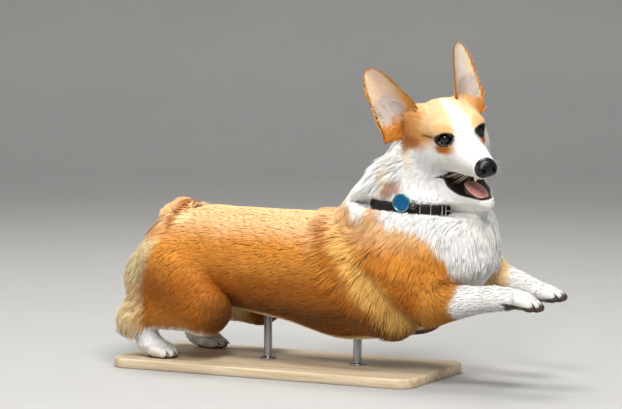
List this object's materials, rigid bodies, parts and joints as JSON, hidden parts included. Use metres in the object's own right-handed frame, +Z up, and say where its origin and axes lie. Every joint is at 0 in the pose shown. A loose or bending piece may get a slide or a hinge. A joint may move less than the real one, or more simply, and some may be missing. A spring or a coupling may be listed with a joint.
{
  "type": "life-size welsh corgi figure",
  "caption": "Still, life-size Pembroke Welsh Corgi in mid-bound, head turned to the side, wearing a collar with a tag, held by rods on a flat base.",
  "frame": {"origin": "centre of the underside of the stand's base", "axes": "+X forward along the dog's back, +Y towards the dog's left side, +Z up"},
  "size_m": [0.6627, 0.2145, 0.4711],
  "materials": {
    "coat_sable": "short red-sable coat, longer behind the shoulder and on the breeches",
    "coat_white": "white coat, thick and long on neck and chest",
    "nose_leather": "moist black nose leather",
    "eye": "clear, wet dark brown eye",
    "tongue": "moist pink",
    "teeth": "ivory",
    "claw": "dark horn",
    "collar_leather": "dark brown strap, worn smooth",
    "collar_steel": "nickel-plated wire",
    "tag_enamel": "blue enamel disc with a bare rim",
    "bell_black": "small black bell",
    "stand_board": "pale oiled board",
    "stand_steel": "satin rods"
  },
  "bodies": {
    "root": {"torso": "coat_sable", "head": "coat_sable", "hindleg_right": "coat_sable", "hindleg_left": "coat_sable", "tail": "coat_sable", "ear_right": "coat_sable", "ear_left": "coat_sable", "neck": "coat_white", "lower_jaw": "coat_white", "hindfoot_right": "coat_white", "hindfoot_left": "coat_white", "foreleg_right": "coat_white", "foreleg_left": "coat_white", "nose": "nose_leather", "eye_right": "eye", "eye_left": "eye", "tongue": "tongue", "teeth_upper": "teeth", "claw_hindfoot_right_1": "claw", "claw_hindfoot_right_2": "claw", "claw_hindfoot_right_3": "claw", "claw_hindfoot_right_4": "claw", "claw_hindfoot_left_1": "claw", "claw_hindfoot_left_2": "claw", "claw_hindfoot_left_3": "claw", "claw_hindfoot_left_4": "claw", "claw_foreleg_right_1": "claw", "claw_foreleg_right_2": "claw", "claw_foreleg_right_3": "claw", "claw_foreleg_right_4": "claw", "claw_foreleg_left_1": "claw", "claw_foreleg_left_2": "claw", "claw_foreleg_left_3": "claw", "claw_foreleg_left_4": "claw", "collar_strap": "collar_leather", "collar_keeper_rear": "collar_steel", "collar_keeper_front": "collar_steel", "collar_buckle": "collar_steel", "collar_tag": "tag_enamel", "collar_bell": "bell_black", "stand_base": "stand_board", "stand_rod_rear": "stand_steel", "stand_rod_front": "stand_steel"}
  },
  "joints": []
}
